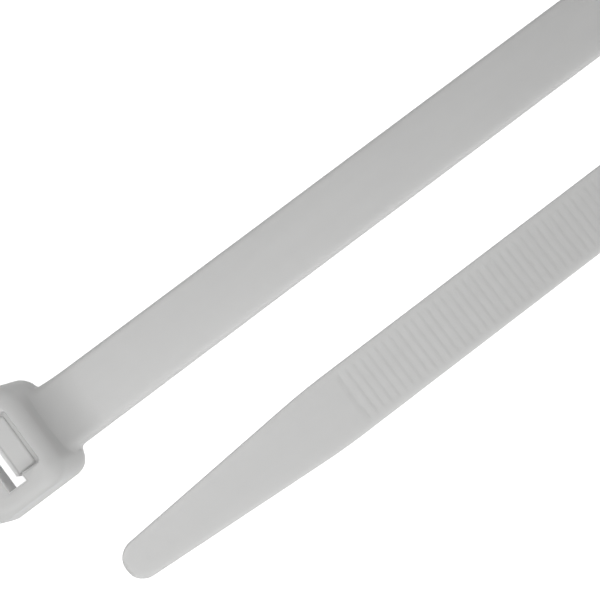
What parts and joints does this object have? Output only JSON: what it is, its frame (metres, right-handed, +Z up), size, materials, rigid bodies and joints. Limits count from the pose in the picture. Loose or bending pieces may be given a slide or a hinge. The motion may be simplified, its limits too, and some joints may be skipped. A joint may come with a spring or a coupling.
{
  "type": "cable tie",
  "caption": "Self-locking moulded nylon cable tie, doubled back in a loose loop, with a toothed strap, a rounded tail and a head with a sprung pawl.",
  "frame": {"origin": "on the flat underside, in the middle of the strap, where the strap leaves the head", "axes": "+X along the strap, away from the head; +Z up, out of the smooth side of the strap and through the channel of the head; +Y across the strap"},
  "size_m": [0.1407, 0.0272, 0.0305],
  "materials": {
    "natural_nylon": "natural, undyed nylon with a satin moulded surface, slightly milky"
  },
  "bodies": {
    "root": {"cable_tie": "natural_nylon"}
  },
  "joints": []
}
